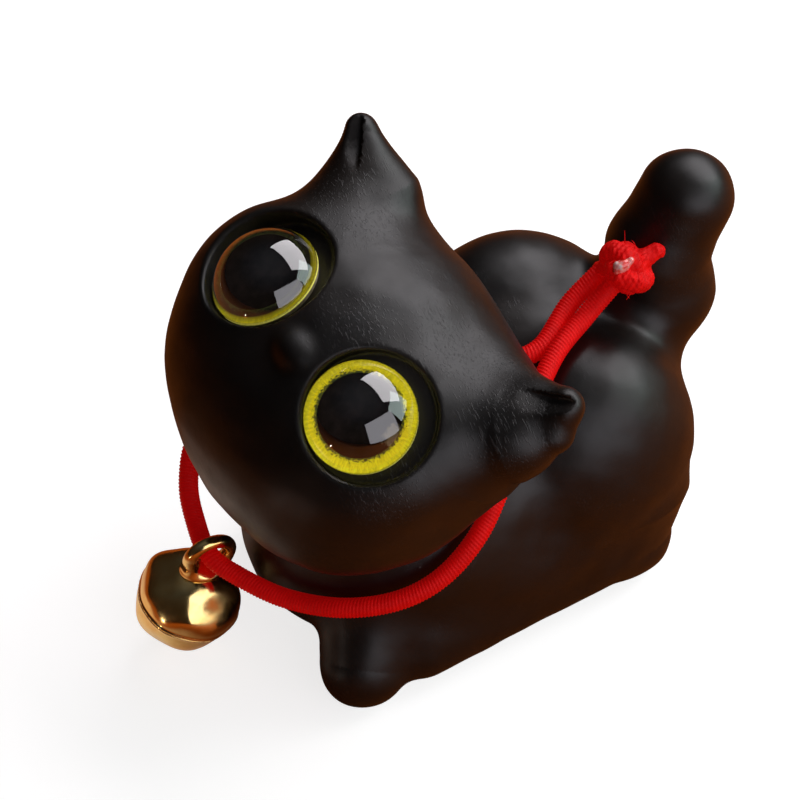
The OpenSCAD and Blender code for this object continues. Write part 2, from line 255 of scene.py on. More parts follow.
def ebony_material():
    """Oiled black wood: close grain, a satin skin, fine knife marks by the ears and eyes, a little dust."""
    material, tree, shader, coords, _ = new_material("ebony", Specular_IOR_Level=0.42)
    grain = noise(tree, stretched(tree, coords, (0.12, 1, 1)), 4200.0, 4.0, 0.6)
    patches = noise(tree, coords, 190.0, 2.0)
    dark = ramp(tree, grain, [(0.30, (0.0016, 0.0011, 0.0009)), (0.72, (0.0052, 0.0030, 0.0018))])
    warm = ramp(tree, patches, [(0.42, (0.0020, 0.0015, 0.0014)), (0.70, (0.0085, 0.0040, 0.0020))])
    wood = mix(tree, 0.5, dark, warm)

    def strokes(way, size, amount):
        """Streaks that run that way, about size millimetres wide; a larger amount leaves fewer."""
        streaks = noise(tree, along_and_across(tree, coords, way, 0.13), 1000.0 / size, 1.0, 0.5)
        return ramp(tree, streaks, [(amount, 0.0), (amount + 0.07, 1.0)])

    where = 0.0
    for place, reach in MARKED_PLACES:
        where = maths(tree, "MAXIMUM", where, near(tree, coords, head_point(*place), reach))
    faint = noise(tree, coords, 260.0, 2.0)
    share = maths(tree, "MAXIMUM", where, ramp(tree, faint, [(0.52, 0.0), (0.66, 0.4)]))
    cuts = maths(tree, "MULTIPLY", strokes((0.0, 0.78, -0.62), 0.16, 0.60), share)
    fine = maths(tree, "MULTIPLY", strokes((0.15, 0.70, -0.70), 0.09, 0.62), share)

    specks = add(tree, "ShaderNodeTexVoronoi", {
        "Vector": coords, "Scale": 520.0, "Randomness": 1.0}, feature="F1")
    round_speck = ramp(tree, specks.outputs["Distance"], [(0.03, 1.0), (0.05, 0.0)])
    chosen = ramp(tree, specks.outputs["Color"], [(0.84, 0.0), (0.87, 1.0)])
    dust = maths(tree, "MULTIPLY", round_speck, chosen)

    marked = mix(tree, maths(tree, "MULTIPLY", cuts, 0.16), wood, (0.09, 0.085, 0.085, 1))
    tree.links.new(mix(tree, dust, marked, (0.30, 0.29, 0.27, 1)), shader.inputs["Base Color"])

    polish = ramp(tree, noise(tree, coords, 320.0, 4.0, 0.62), [(0.3, 0.38), (0.72, 0.48)])
    tree.links.new(mix(tree, dust, polish, (0.9, 0.9, 0.9, 1)), shader.inputs["Roughness"])

    pores = noise(tree, stretched(tree, coords, (0.2, 1, 1)), 5200.0, 3.0, 0.7)
    hand = noise(tree, coords, 420.0, 2.0)
    first = bump(tree, hand, 0.14, 0.30)
    second = bump(tree, pores, 0.016, 0.30, first)
    third = bump(tree, cuts, 0.022, 0.50, second)
    tree.links.new(bump(tree, fine, 0.010, 0.45, third), shader.inputs["Normal"])
    return material


def glass_material():
    """Clear glass with a polished coat, a little hazy in patches."""
    material, tree, shader, coords, _ = new_material(
        "eye_glass", Base_Color=(0.985, 0.99, 0.985, 1), Transmission_Weight=1.0, IOR=1.5,
        Coat_Weight=1.0, Coat_IOR=1.65, Coat_Roughness=0.03)
    haze = ramp(tree, noise(tree, coords, 700.0, 3.0), [(0.55, 0.0), (0.85, 0.05)])
    tree.links.new(haze, shader.inputs["Roughness"])
    return material


def radius_and_turn(tree, uv):
    """Distance from the middle and the angle, for a disc whose UV is its own plane in millimetres."""
    flat = add(tree, "ShaderNodeSeparateXYZ", {"Vector": uv})
    far = add(tree, "ShaderNodeVectorMath", {0: uv}, operation="LENGTH").outputs["Value"]
    turn = maths(tree, "ARCTAN2", flat.outputs["Y"], flat.outputs["X"])
    return far, turn


def iris_material(name, inner, glow):
    """A yellow print with specks: it starts at inner, a share of the eye's radius, and glows that much,
    painted light that brightens the print under the glass.
    """
    material, tree, shader, _, uv = new_material(
        name, Roughness=0.5, Specular_IOR_Level=0.1, Emission_Strength=glow)
    far, turn = radius_and_turn(tree, uv)
    share = maths(tree, "DIVIDE", far, EYE_R)
    body = ramp(tree, share, [
        (inner - 0.04, (0.012, 0.012, 0.008)), (inner, (0.34, 0.30, 0.010)),
        (inner + 0.06, (0.72, 0.62, 0.012)), (0.87, (0.93, 0.80, 0.020)),
        (0.91, (0.80, 0.68, 0.012)), (0.965, (0.95, 0.90, 0.16))])
    spokes = add(tree, "ShaderNodeCombineXYZ", {
        "X": maths(tree, "MULTIPLY", turn, 9.0), "Y": maths(tree, "MULTIPLY", share, 2.0)}).outputs[0]
    streaks = ramp(tree, noise(tree, spokes, 2.6, 4.0, 0.7), [(0.40, 0.72), (0.62, 1.0)])
    streaked = mix(tree, 1.0, body, streaks, "MULTIPLY")
    speckle = noise(tree, uv, 5.5, 5.0, 0.75)
    edge = ramp(tree, share, [(0.60, 1.0), (0.72, 0.0)])
    spots = ramp(tree, maths(tree, "ADD", speckle, maths(tree, "MULTIPLY", edge, 0.26)), [
        (0.66, 0.0), (0.74, 1.0)])
    printed = mix(tree, spots, streaked, (0.035, 0.045, 0.012, 1))
    tree.links.new(printed, shader.inputs["Base Color"])
    # The print's own colour is also its emission: painted light, so the iris glows under the glass.
    tree.links.new(printed, shader.inputs["Emission Color"])
    return material


def pupil_material(name, chipped):
    """A black print with a faint brown mottle; a chipped one has a smear of old glue at its edge."""
    material, tree, shader, _, uv = new_material(name, Roughness=0.5, Specular_IOR_Level=0.05)
    mottle = ramp(tree, noise(tree, uv, 1.1, 4.0, 0.6), [
        (0.40, (0.0020, 0.0016, 0.0016)), (0.74, (0.0130, 0.0085, 0.0085))])
    if chipped:
        unevenness = maths(tree, "MULTIPLY", noise(tree, uv, 3.0, 4.0, 0.7), 1.9)
        ragged = maths(tree, "ADD", distance(tree, uv, CHIP_AT), unevenness)
        smear = ramp(tree, maths(tree, "MULTIPLY", ragged, 0.33), [(0.48, 1.0), (0.58, 0.0)])
        mottle = mix(tree, smear, mottle, (0.20, 0.165, 0.10, 1))
    tree.links.new(mottle, shader.inputs["Base Color"])
    return material


def glue_material():
    """Old yellowed glue, cloudy."""
    material, tree, shader, coords, _ = new_material("glue", Roughness=0.5)
    colour = ramp(tree, noise(tree, coords, 1500.0), [(0.35, (0.16, 0.13, 0.08)), (0.7, (0.32, 0.28, 0.19))])
    tree.links.new(colour, shader.inputs["Base Color"])
    return material


def cord_material():
    """Red nylon thread: each rib catches the light, with fine fibres across it, and a faint red glow all
    over, painted light that keeps its shaded side bright.
    """
    # The red emission is painted light: the cord, the knot and its fibres glow where they lie in shade.
    material, tree, shader, coords, uv = new_material(
        "red_cord", Roughness=0.5, Specular_IOR_Level=0.12,
        Emission_Color=(0.9, 0.004, 0.004, 1), Emission_Strength=0.17)
    fibres = noise(tree, stretched(tree, uv, (1.0, 34.0, 1.0)), 9.0, 3.0, 0.6)
    patches = noise(tree, coords, 900.0, 3.0)
    colour = ramp(tree, fibres, [(0.30, (0.52, 0.0010, 0.0016)), (0.72, (0.76, 0.0040, 0.0040))])
    shade = ramp(tree, patches, [(0.35, 0.78), (0.65, 1.0)])
    tree.links.new(mix(tree, 1.0, colour, shade, "MULTIPLY"), shader.inputs["Base Color"])
    tree.links.new(bump(tree, fibres, 0.03, 0.5), shader.inputs["Normal"])
    return material


def melted_material():
    """Nylon that was melted and set: glassy, pink where it is thin."""
    material, tree, shader, coords, _ = new_material(
        "melted_cord", Roughness=0.14, Subsurface_Weight=0.25, Subsurface_Scale=0.0006, Coat_Weight=0.5)
    colour = ramp(tree, noise(tree, coords, 1600.0, 2.0), [
        (0.40, (0.74, 0.07, 0.06)), (0.56, (0.86, 0.42, 0.38)), (0.68, (0.92, 0.76, 0.72))])
    tree.links.new(colour, shader.inputs["Base Color"])
    return material


def brass_material():
    """Gold-plated brass, polished and lightly rubbed, browner in random patches."""
    material, tree, shader, coords, _ = new_material("bell_brass", Metallic=1.0)
    wear = noise(tree, coords, 420.0, 4.0, 0.6)
    colour = ramp(tree, wear, [(0.32, (0.86, 0.52, 0.15)), (0.62, (0.96, 0.72, 0.30))])
    tree.links.new(colour, shader.inputs["Base Color"])
    rough = ramp(tree, noise(tree, coords, 900.0, 4.0, 0.6), [(0.35, 0.12), (0.75, 0.26)])
    tree.links.new(rough, shader.inputs["Roughness"])
    rubbed = noise(tree, stretched(tree, coords, (1, 1, 0.2), (30, 0, 40)), 6000.0, 2.0)
    first = bump(tree, noise(tree, coords, 520.0, 2.0), 0.10, 0.30)
    tree.links.new(bump(tree, rubbed, 0.004, 0.25, first), shader.inputs["Normal"])
    return material


def steel_material():
    """Plain steel with brown stains, duller where it is stained."""
    material, tree, shader, coords, _ = new_material("steel", Metallic=1.0)
    stain = noise(tree, coords, 1800.0, 4.0)
    colour = ramp(tree, stain, [(0.3, (0.28, 0.25, 0.22)), (0.7, (0.55, 0.54, 0.52))])
    tree.links.new(colour, shader.inputs["Base Color"])
    tree.links.new(ramp(tree, stain, [(0.3, 0.5), (0.7, 0.28)]), shader.inputs["Roughness"])
    return material


# ---- Distance functions, in millimetres, negative inside ----

def length(p):
    return np.sqrt((p * p).sum(-1))


def unit(v):
    v = np.asarray(v, float)
    return v / np.linalg.norm(v)


def smooth_min(a, b, k):
    h = np.maximum(k - np.abs(a - b), 0) / k
    return np.minimum(a, b) - h * h * k / 4


def smooth_max(a, b, k):
    return -smooth_min(-a, -b, k)


def rod(p, a, b, ra, rb):
    """A rod from a to b whose radius goes from ra to rb."""
    a = np.array(a, float)
    along = np.array(b, float) - a
    t = np.clip((p - a) @ along / (along @ along), 0, 1)
    return length(p - a - t[..., None] * along) - ra - (rb - ra) * t


def egg(q, radii):
    """An ellipsoid, for points measured from its middle."""
    radii = np.array(radii, float)
    k0 = length(q / radii)
    k1 = length(q / (radii * radii))
    return k0 * (k0 - 1) / np.maximum(k1, 1e-6)


def dent(p, place, reach, depth):
    """A shallow round dip, to be added to a field."""
    far = length(p - np.array(place, float)) / reach
    return depth * np.exp(-far * far)


def waves(p, size, seed, count=9):
    """Gentle unevenness of about that size, from -1 to 1, the same each run."""
    draw = np.random.default_rng(seed)
    total = 0
    for _ in range(count):
        way = unit(draw.normal(size=3)) * 2 * np.pi / (size * draw.uniform(0.75, 1.4))
        total = total + np.sin(p @ way + draw.uniform(0, 2 * np.pi))
    return total / count ** 0.5 / 1.4


# ---- Carving ----

def turn_matrix(x, y, z):
    """The rotation that turns about X, then Y, then Z, in degrees."""
    x, y, z = np.radians([x, y, z])
    about_x = np.array([[1, 0, 0], [0, np.cos(x), -np.sin(x)], [0, np.sin(x), np.cos(x)]])
    about_y = np.array([[np.cos(y), 0, np.sin(y)], [0, 1, 0], [-np.sin(y), 0, np.cos(y)]])
    about_z = np.array([[np.cos(z), -np.sin(z), 0], [np.sin(z), np.cos(z), 0], [0, 0, 1]])
    return about_z @ about_y @ about_x


# Head frame: x forward out of the face, y to the cat's left, z to the crown.
HEAD_AT = np.array([11.4, 0, 22.6])
HEAD_TURN = turn_matrix(-30.5, -63, 30.5)
FACE_DEPTH = 10.8
NAPE_DEPTH = 7.6
HEAD_W = 28.6
HEAD_H = 25.0
CHEEK_AT = (2, 5.2, -3.4)
CHEEK_R = {1: (7, 7.6, 7.2), -1: (7, 6.8, 6.6)}
EAR_ROOT = {1: (3.0, 10.0, 6.2), -1: (3.0, -8.8, 6.8)}
EAR_ROOT_R = 4.9
EAR_INNER_ROOT = {1: (2.0, 6.2, 7.9), -1: (3.6, -9.6, 10.9)}
EAR_INNER_R = {1: 3.2, -1: 2.4}
LEFT_EAR_EDGE = (4.2, 12.7, 8.2)
LEFT_EAR_EDGE_R = 3.0
LEFT_EAR_CORNER = (5.0, 14.4, 10.6)
LEFT_EAR_CORNER_R = 1.2
EAR_TIP = {1: (6.2, 13.7, 12.3), -1: (6.2, -13.7, 11.9)}
EAR_TIP_R = 0.9
HOLLOW_FROM = 9.6
HOLLOW_FLOOR = 6.65
CROWN_END = (0.5, 8, 7.2)
CROWN_R = 4.7
BROW_AT = (5.2, 7.4, 0.2)
BROW_R = (4.4, 6.6, 6.6)
NOSE_AT = (10.35, -0.1, -1.3)
NOSE_R = (1.0, 1.35, 1.15)
LIP_DIP_AT = (10.6, 0, -3.6)

# Eyes: the glass's flat back lies EYE_F out from the middle of the head.
EYE_F = {1: 9.2, -1: 8.9}
EYE_OUT = 6.7
EYE_SPLAY = {1: 12.0, -1: 21.0}
EYE_R = 4.1
EYE_DOME = 2.9
GLASS_RIM = 0.5
PUPIL_R = 2.4
CHIP_AT = (-1.0, 2.1, 0)
FOIL_T = 0.25
GLUE_T = 0.35
SOCKET_R = 4.85
SOCKET_OFF = (-0.50, 0.36)


def head_point(f, l, u):
    """A point of the head frame, in the carver's frame."""
    return HEAD_AT + HEAD_TURN @ np.array([f, l, u], float)


def mirrored(point, side):
    """A point given for the cat's left, on side 1 (left) or -1 (right)."""
    return (point[0], side * point[1], point[2])


def eye_frame(side):
    """Middle and axes of an eye's flat back: to the chin, sideways, and out along the eye's axis."""
    axes = HEAD_TURN @ (turn_matrix(0, 0, side * EYE_SPLAY[side]) @ turn_matrix(0, 90, 0))
    return head_point(EYE_F[side], side * EYE_OUT, 0), axes


def in_frame(p, middle, axes):
    return (p - middle) @ axes


def ear_field(q, side):
    """A leaf that narrows from the head to its tip; the left one is fuller at its outer edge."""
    tip = EAR_TIP[side]
    outer = rod(q, EAR_ROOT[side], tip, EAR_ROOT_R, EAR_TIP_R)
    inner = rod(q, EAR_INNER_ROOT[side], tip, EAR_INNER_R[side], EAR_TIP_R)
    blade = smooth_min(outer, inner, 1.5)
    if side > 0:
        edge = smooth_min(rod(q, EAR_ROOT[side], LEFT_EAR_EDGE, EAR_ROOT_R, LEFT_EAR_EDGE_R),
                          rod(q, LEFT_EAR_EDGE, LEFT_EAR_CORNER, LEFT_EAR_EDGE_R, LEFT_EAR_CORNER_R), 1.0)
        end = rod(q, LEFT_EAR_CORNER, tip, LEFT_EAR_CORNER_R, EAR_TIP_R)
        blade = smooth_min(blade, smooth_min(edge, end, 1.0), 1.2)
    return blade


def ear_hollow(q, side):
    """The cut in an ear's outer face: a crisp wall along its ridge, and a floor that fades to the cheek."""
    low = EAR_TIP[1][2] - EAR_TIP[side][2]
    out = side * q[..., 1] - HOLLOW_FROM
    up = q[..., 2] - HOLLOW_FROM + low
    along = 0.8 * out + 0.6 * up
    below = 0.6 * out - 0.8 * up
    back = np.maximum(3.2 - along, 0)
    floor = HOLLOW_FLOOR + 0.3 * below + 0.1 * back + 0.06 * back * back
    floor = floor + 0.25 * np.maximum(along - 3.8, 0)
    return smooth_max(-below, floor - q[..., 0], 0.35)


def head_field(q):
    """The head in its own frame: a flattened ball, deeper in front, with brows, cheeks, ears and nose."""
    depth = np.where(q[..., 0] > 0, FACE_DEPTH, NAPE_DEPTH)
    d = egg(q, np.stack([depth, np.full_like(depth, HEAD_W / 2), np.full_like(depth, HEAD_H / 2)], -1))
    d = smooth_min(d, rod(q, mirrored(CROWN_END, -1), CROWN_END, CROWN_R, CROWN_R), 2)
    for side in (1, -1):
        d = smooth_min(d, egg(q - mirrored(BROW_AT, side), BROW_R), 2.5)
        d = smooth_min(d, egg(q - mirrored(CHEEK_AT, side), CHEEK_R[side]), 2.5)
    for side in (1, -1):
        d = smooth_min(d, ear_field(q, side), 2.6)
        d = smooth_max(d, -ear_hollow(q, side), 0.12)
    d = smooth_min(d, egg(q - np.array(NOSE_AT), NOSE_R), 1.1)
    return d + dent(q, LIP_DIP_AT, 1.5, 0.25)


def socket_field(p, side):
    """The hole an eye sits in: round, wider towards the crown and the ear, with a soft lip."""
    middle, axes = eye_frame(side)
    q = in_frame(p, middle, axes)
    off = q[..., :2] - np.array([SOCKET_OFF[0], SOCKET_OFF[1] * side])
    wall = length(off) - SOCKET_R - 0.10 * np.maximum(q[..., 2], 0)
    return smooth_max(wall, -GLUE_T - FOIL_T - q[..., 2], 0.3)


# Body, in the carver's frame. Paired places are given for the left, unless both sides are listed.
SPINE = [(9, 0, 10), (-5, 0, 11)]
SPINE_R = [9.8, 10.2]
HAUNCH_AT = {1: (-6, 5.2, 12.4), -1: (-5.8, -5.8, 13.2)}
HAUNCH_R = {1: (8.9, 7.4, 10), -1: (9.4, 7.6, 10)}
SHOULDER_AT = (6.5, 4.5, 9.5)
SHOULDER_R = (9, 7.4, 9)
BELLY_AT = (1.5, 0, 7.8)
BELLY_R = (13.5, 12, 6.2)
NECK_FROM = (9, 0, 13)
NECK_R = 7
TAIL = [(-11, 0, 14), (-15.5, -0.1, 20.2), (-15.6, -0.1, 24), (-17.8, 0, 28.4)]
TAIL_R = [4.6, 4.4, 3.8, 3.65]
LEG_TOPS = [(13, 6.5, 7), (11.2, -6.5, 7), (-8.6, 6.3, 7.2), (-8.6, -6.3, 7.2)]
PAWS = [(15.3, 9, 3), (13.4, -7.6, 3), (-8.6, 7.3, 3.2), (-8.4, -7, 3.2)]
LEG_R = [4.2, 4.2, 5.5, 5.3]
PAW_R = [3.4, 3.4, 3.8, 3.8]
SILL = [(-6, 7.8, 4.1), (10.5, 8.7, 3.7)]
SILL_R = 3.7
CHEST_AT = (11, 0.5, 8)
CHEST_R = (8.5, 8.5, 7.5)


def tail_field(p):
    d = rod(p, TAIL[0], TAIL[1], TAIL_R[0], TAIL_R[1])
    for k in (1, 2):
        d = smooth_min(d, rod(p, TAIL[k], TAIL[k + 1], TAIL_R[k], TAIL_R[k + 1]), 1)
    return d


def body_field(p):
    d = rod(p, *SPINE, *SPINE_R)
    for side in (1, -1):
        d = smooth_min(d, egg(p - np.array(HAUNCH_AT[side]), HAUNCH_R[side]), 2.5)
    d = smooth_min(d, egg(p - np.array(CHEST_AT), CHEST_R), 2.5)
    for side in (1, -1):
        d = smooth_min(d, egg(p - mirrored(SHOULDER_AT, side), SHOULDER_R), 3)
        d = smooth_min(d, rod(p, mirrored(SILL[0], side), mirrored(SILL[1], side), SILL_R, SILL_R), 2.5)
    d = smooth_min(d, egg(p - np.array(BELLY_AT), BELLY_R), 2)
    for top, paw, leg_r, paw_r in zip(LEG_TOPS, PAWS, LEG_R, PAW_R):
        d = smooth_min(d, rod(p, top, paw, leg_r, paw_r), 1.3)
    return d


def carving_field(p):
    """The whole carving, with hand-made unevenness, eye sockets, a groove for the cord and a flat foot."""
    body = body_field(p)
    body = smooth_min(body, rod(p, NECK_FROM, HEAD_AT, NECK_R, NECK_R), 2)
    body = smooth_min(body, tail_field(p), 2.6)
    head = head_field(in_frame(p, HEAD_AT, HEAD_TURN))
    d = smooth_min(body, head, 1.2)
    d = d + 0.05 * waves(p, 6.0, 3) + 0.02 * waves(p, 2.6, 4)
    for side in (1, -1):
        d = smooth_max(d, -socket_field(p, side), 0.5)
    d = smooth_max(d, GROOVE_R - line_distance(p, CORD_LINE_COARSE), 0.7)
    return smooth_max(d, -p[..., 2], 0.3)


# ---- Cord route, in the carver's millimetres, from the knot round the neck's left side and back ----

CORD_ROUTE = [
    (-10.2, 2.5, 25.3), (-7.2, 3.2, 23.7), (-3.6, 4.8, 22.8), (0.2, 7.6, 21.2), (3.6, 10, 18.6),
    (6.9, 11.8, 15.6), (10.3, 12.2, 13.1), (13.7, 11.4, 11.6), (17.1, 9, 10.4), (19.8, 5, 9.1),
    (21.9, 1.2, 9.2), (22.9, -1, 9.8), (22.5, -3.9, 10.3), (21.5, -7, 11.3), (19.4, -9.6, 12.9),
    (16, -10.9, 14.3), (12, -11.3, 15.6), (7.8, -11, 17.3), (4.4, -9.2, 19.4), (2.4, -6.2, 21.6),
    (1, -2.2, 22.6), (-0.6, 2.6, 22.3), (-3.2, 3.4, 22.6), (-6.9, 1.4, 23.6), (-10, 0.8, 25)]
CORD_R = 0.75
GROOVE_R = 1.0
RIB_PITCH = 0.27
RIB_STARTS = 3
RIB_DEPTH = 0.045
RIB_PROUD = 0.02


def curve(route, spacing):
    """Points about that far apart on a smooth curve through the route."""
    route = np.array(route, float)
    ends = np.vstack([2 * route[0] - route[1], route, 2 * route[-1] - route[-2]])
    pieces = []
    for a, b, c, d in zip(ends[:-3], ends[1:-2], ends[2:-1], ends[3:]):
        t = np.linspace(0, 1, 40, endpoint=False)[:, None]
        pieces.append((2 * b + (c - a) * t + (2 * a - 5 * b + 4 * c - d) * t ** 2
                       + (3 * b - a - 3 * c + d) * t ** 3) / 2)
    line = np.vstack([*pieces, route[-1:]])
    run = np.concatenate([[0], np.cumsum(np.linalg.norm(np.diff(line, axis=0), axis=1))])
    even = np.linspace(0, run[-1], int(round(run[-1] / spacing)) + 1)
    return np.stack([np.interp(even, run, line[:, axis]) for axis in range(3)], 1), even


CORD_LINE_COARSE = curve(CORD_ROUTE, 1.2)[0]


def line_distance(p, line):
    """Distance to a line through many points, left very large where the line is more than 4 mm away."""
    far = np.full(p.shape[:-1], 1e9)
    lo = line.min(0) - 4
    hi = line.max(0) + 4
    close = np.all((p > lo) & (p < hi), axis=-1)
    q = p[close]
    best = np.full(len(q), 1e9)
    for a, b in zip(line[:-1], line[1:]):
        along = b - a
        t = np.clip((q - a) @ along / (along @ along), 0, 1)
        best = np.minimum(best, ((q - a - t[:, None] * along) ** 2).sum(-1))
    far[close] = np.sqrt(best)
    return far


# ---- Skin of a field: one point in each cell that the surface crosses, then evened out on the surface ----

CORNERS = np.array([[i, j, k] for k in (0, 1) for j in (0, 1) for i in (0, 1)])
CELL_EDGES = [(0, 1), (2, 3), (4, 5), (6, 7), (0, 2), (1, 3), (4, 6), (5, 7), (0, 4), (1, 5), (2, 6), (3, 7)]
BLOCK = 4
CHUNK = 200000


def in_chunks(field, points):
    """The field at many points, worked out a chunk at a time to save memory."""
    return np.concatenate([field(points[i:i + CHUNK]) for i in range(0, len(points), CHUNK)])


def slope(field, points, reach):
    """The field's gradient at each point."""
    steps = reach * np.eye(3)
    parts = [in_chunks(field, points + s) - in_chunks(field, points - s) for s in steps]
    return np.stack(parts, -1) / (2 * reach)


def settle(field, points, reach, limit):
    """Moves points straight onto the surface, by no more than limit."""
    g = slope(field, points, reach)
    size = np.maximum((g * g).sum(-1), 0.05)
    move = -(in_chunks(field, points) / size)[:, None] * g
    far = np.linalg.norm(move, axis=1, keepdims=True)
    return points + move * np.minimum(1, limit / np.maximum(far, 1e-9))


def grid_values(field, lo, hi, step):
    """The field on a grid: exact near the surface, and one value for each block of cells far from it."""
    cells = (np.ceil((np.array(hi, float) - lo) / step / BLOCK).astype(int)) * BLOCK
    blocks = cells // BLOCK
    index = np.stack(np.meshgrid(*[np.arange(n) for n in blocks], indexing="ij"), -1).reshape(-1, 3)
    rough = in_chunks(field, lo + step * BLOCK * (index + 0.5)).reshape(blocks)
    for axis in range(3):
        rough = np.repeat(rough, BLOCK, axis)
    values = np.pad(rough, ((0, 1), (0, 1), (0, 1)), mode="edge")
    close = np.abs(values) < 2.0 * BLOCK * step
    values[close] = in_chunks(field, lo + step * np.argwhere(close))
    return values


def skin(field, lo, hi, step, passes=3):
    """Points, four-sided faces and normals of the surface of a field inside a box."""
    lo = np.array(lo, float)
    values = grid_values(field, lo, hi, step)
    inside = values < 0
    cells = np.array(values.shape) - 1
    count = sum(inside[c[0]:cells[0] + c[0], c[1]:cells[1] + c[1], c[2]:cells[2] + c[2]].astype(int)
                for c in CORNERS)
    crossed = (count > 0) & (count < 8)
    where = np.argwhere(crossed)
    number = np.full(cells, -1)
    number[crossed] = np.arange(len(where))
    at_corner = np.stack([values[tuple((where + c).T)] for c in CORNERS], 1)
    total = np.zeros((len(where), 3))
    hits = np.zeros(len(where))
    for a, b in CELL_EDGES:
        va = at_corner[:, a]
        vb = at_corner[:, b]
        split = (va < 0) != (vb < 0)
        t = np.where(split, va / np.where(split, va - vb, 1), 0)
        total += split[:, None] * (CORNERS[a] + t[:, None] * (CORNERS[b] - CORNERS[a]))
        hits += split
    points = lo + step * (where + total / hits[:, None])
    faces = []
    for axis in range(3):
        u, v = [(1, 2), (2, 0), (0, 1)][axis]
        ahead = np.roll(inside, -1, axis)
        change = np.argwhere(inside != ahead)
        change = change[(change[:, axis] < cells[axis]) & (change[:, u] > 0) & (change[:, v] > 0)
                        & (change[:, u] < cells[u]) & (change[:, v] < cells[v])]
        step_u = np.eye(3, dtype=int)[u]
        step_v = np.eye(3, dtype=int)[v]
        ring = [change - step_u - step_v, change - step_v, change, change - step_u]
        quad = np.stack([number[tuple(r.T)] for r in ring], 1)
        outward = inside[tuple(change.T)]
        faces.append(np.where(outward[:, None], quad, quad[:, ::-1]))
    faces = np.vstack(faces)
    for _ in range(passes):
        centres = points[faces].mean(1)
        total = np.zeros_like(points)
        weight = np.zeros(len(points))
        for corner in range(4):
            np.add.at(total, faces[:, corner], centres)
            np.add.at(weight, faces[:, corner], 1)
        points = points + 0.6 * (total / weight[:, None] - points)
        points = settle(field, points, 0.2 * step, 0.6 * step)
    points = settle(field, points, 0.2 * step, 0.3 * step)
    normals = slope(field, points, 0.25 * step)
    normals /= np.maximum(np.linalg.norm(normals, axis=1, keepdims=True), 1e-9)
    return points, faces, normals


# ---- Making pieces ----

def make_piece(name, points, faces, material, body, nodes, slot, normals=None, uvs=None):
    """A mesh from points in the carver's millimetres, riding on a body and standing for CAD nodes."""
    mesh = bpy.data.meshes.new(name)
    faces = faces.tolist() if isinstance(faces, np.ndarray) else faces
    mesh.from_pydata(((points + CENTRING) * MM).tolist(), [], faces)
    mesh.polygons.foreach_set("use_smooth", [True] * len(mesh.polygons))
    if uvs is not None:
        corners = np.empty(len(mesh.loops), int)
        mesh.loops.foreach_get("vertex_index", corners)
        mesh.uv_layers.new(name="UVMap").data.foreach_set("uv", uvs[corners].astype(np.float32).ravel())
    mesh.update()
    if normals is not None:
        mesh.normals_split_custom_set_from_vertices(normals.tolist())
    mesh.materials.append(material)
    piece = bpy.data.objects.new(name, mesh)
    bpy.context.scene.collection.objects.link(piece)
    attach(piece, body)
    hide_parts(*nodes)
    return piece


def make_carving(material):
    step = 0.26
    points, faces, normals = skin(carving_field, (-22.7, -15.5, -0.6), (25.5, 18, 38.5), step)
    make_piece("carving_wood", points, faces, material, "root", ["carving"], "ebony", normals)


def coat(node, material):
    """Gives a CAD node that is shown as it is its material."""
    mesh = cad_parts[node].data
    mesh.materials.clear()
    mesh.materials.append(material)


EYE_TURNS = 128


def spun(outline, turns):
    """The points of an outline, (distance from the axis, height), at each step of a full turn."""
    outline = np.array(outline, float)
    angle = np.linspace(0, 2 * np.pi, turns, endpoint=False)
    return np.stack([
        outline[:, None, 0] * np.cos(angle), outline[:, None, 0] * np.sin(angle),
        np.repeat(outline[:, 1:2], turns, 1)], -1).reshape(-1, 3)


def lathe(outline, turns, middle, axes):
    """A closed round solid from a half outline that starts and ends on its axis. UV is its own plane."""
    inner = outline[1:-1]
    local = np.vstack([[[0, 0, outline[0][1]]], spun(inner, turns), [[0, 0, outline[-1][1]]]])
    last = len(local) - 1
    top = 1 + (len(inner) - 1) * turns
    faces = []
    for n in range(turns):
        m = (n + 1) % turns
        faces.append((1 + m, 1 + n, 0))
        faces.append((top + n, top + m, last))
        for a in range(1, top, turns):
            faces.append((a + m, a + turns + m, a + turns + n, a + n))
    return middle + local @ axes.T, faces, local[:, :2]


def ring(outline, turns, middle, axes):
    """A closed ring from an outline that goes once round its own section. UV is its own plane."""
    local = spun(outline, turns)
    faces = []
    for k in range(len(outline)):
        a = k * turns
        b = ((k + 1) % len(outline)) * turns
        for n in range(turns):
            m = (n + 1) % turns
            faces.append((a + m, b + m, b + n, a + n))
    return middle + local @ axes.T, faces, local[:, :2]


def arc(middle, radius, start, stop, count):
    angle = np.radians(np.linspace(start, stop, count))
    return [(middle[0] + radius * np.cos(a), middle[1] + radius * np.sin(a)) for a in angle]


def dome_outline():
    """Half of a glass cabochon: a flat back, a small rounded edge, a short rim and a dome."""
    sink = 0.04
    edge = 0.12
    ball = (EYE_DOME ** 2 + EYE_R ** 2) / (2 * EYE_DOME)
    widest = np.degrees(np.arcsin(EYE_R / ball))
    top = GLASS_RIM + EYE_DOME
    outline = [(0, -sink)] + [(r, -sink) for r in (1.4, 2.8, EYE_R - edge)]
    outline += arc((EYE_R - edge, edge - sink), edge, -60, 0, 4)
    outline += [(EYE_R, GLASS_RIM - 0.1)]
    outline += [(ball * np.sin(np.radians(a)), top - ball + ball * np.cos(np.radians(a)))
                for a in np.linspace(widest - 1.5, 1.2, 40)]
    return outline + [(0, top)]


def pupil_outline():
    chamfer = 0.03
    return [(0, -FOIL_T), (PUPIL_R - chamfer, -FOIL_T), (PUPIL_R, -FOIL_T + chamfer), (PUPIL_R, -chamfer),
            (PUPIL_R - chamfer, 0), (PUPIL_R * 0.5, 0), (0, 0)]


def iris_outline():
    inner = PUPIL_R + 0.005
    outer = EYE_R - 0.02
    return [(inner, 0), (inner, -FOIL_T), (outer - 0.13, -FOIL_T), (outer, -0.12), (outer, -0.02),
            (outer - 0.04, 0), (3.3, 0)]


